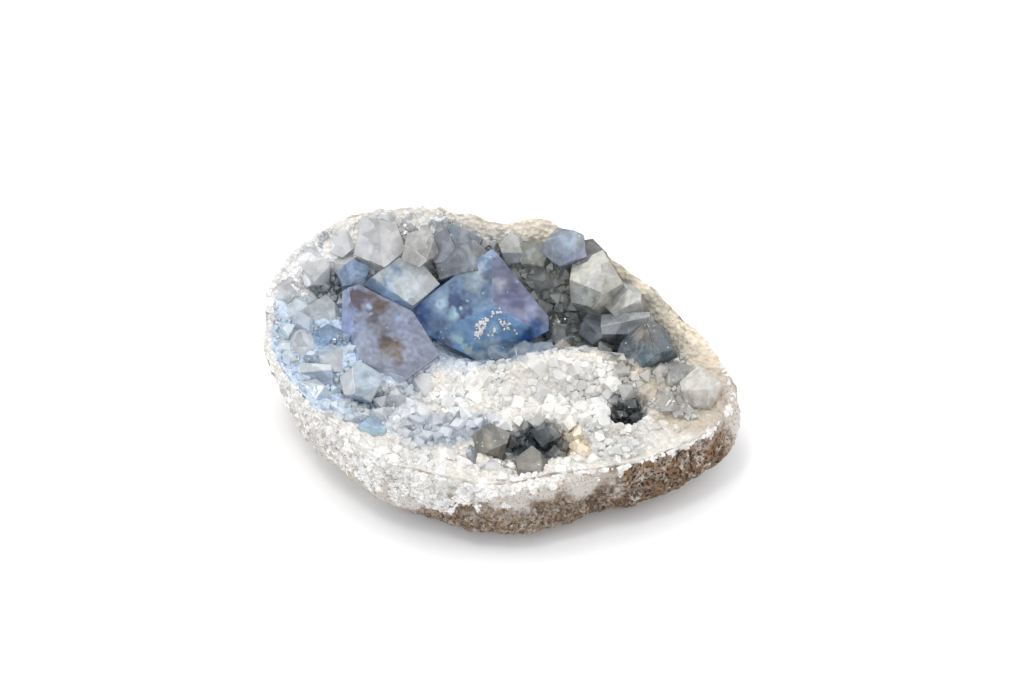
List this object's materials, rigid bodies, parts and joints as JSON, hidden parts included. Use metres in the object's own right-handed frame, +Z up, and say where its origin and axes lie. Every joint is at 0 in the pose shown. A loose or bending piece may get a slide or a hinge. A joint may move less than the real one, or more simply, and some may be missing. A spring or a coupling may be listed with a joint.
{
  "type": "celestite geode",
  "caption": "Open half of a pale rock nodule that rests on its flat underside, its hollow lined with a crust of blunt sky-blue crystals.",
  "frame": {"origin": "centre of the bounding box's base, on the plane of the flat spot that the geode rests on", "axes": "+X along the geode's length, towards its narrow end; +Y towards its high back rim; +Z up, out of the hollow"},
  "size_m": [0.1272, 0.0846, 0.0479],
  "materials": {
    "rind_rock": "rough, granular",
    "celestite": "vitreous, natural crystal faces"
  },
  "bodies": {
    "root": {"rind": "rind_rock", "crystal_crust": "celestite"}
  },
  "joints": []
}
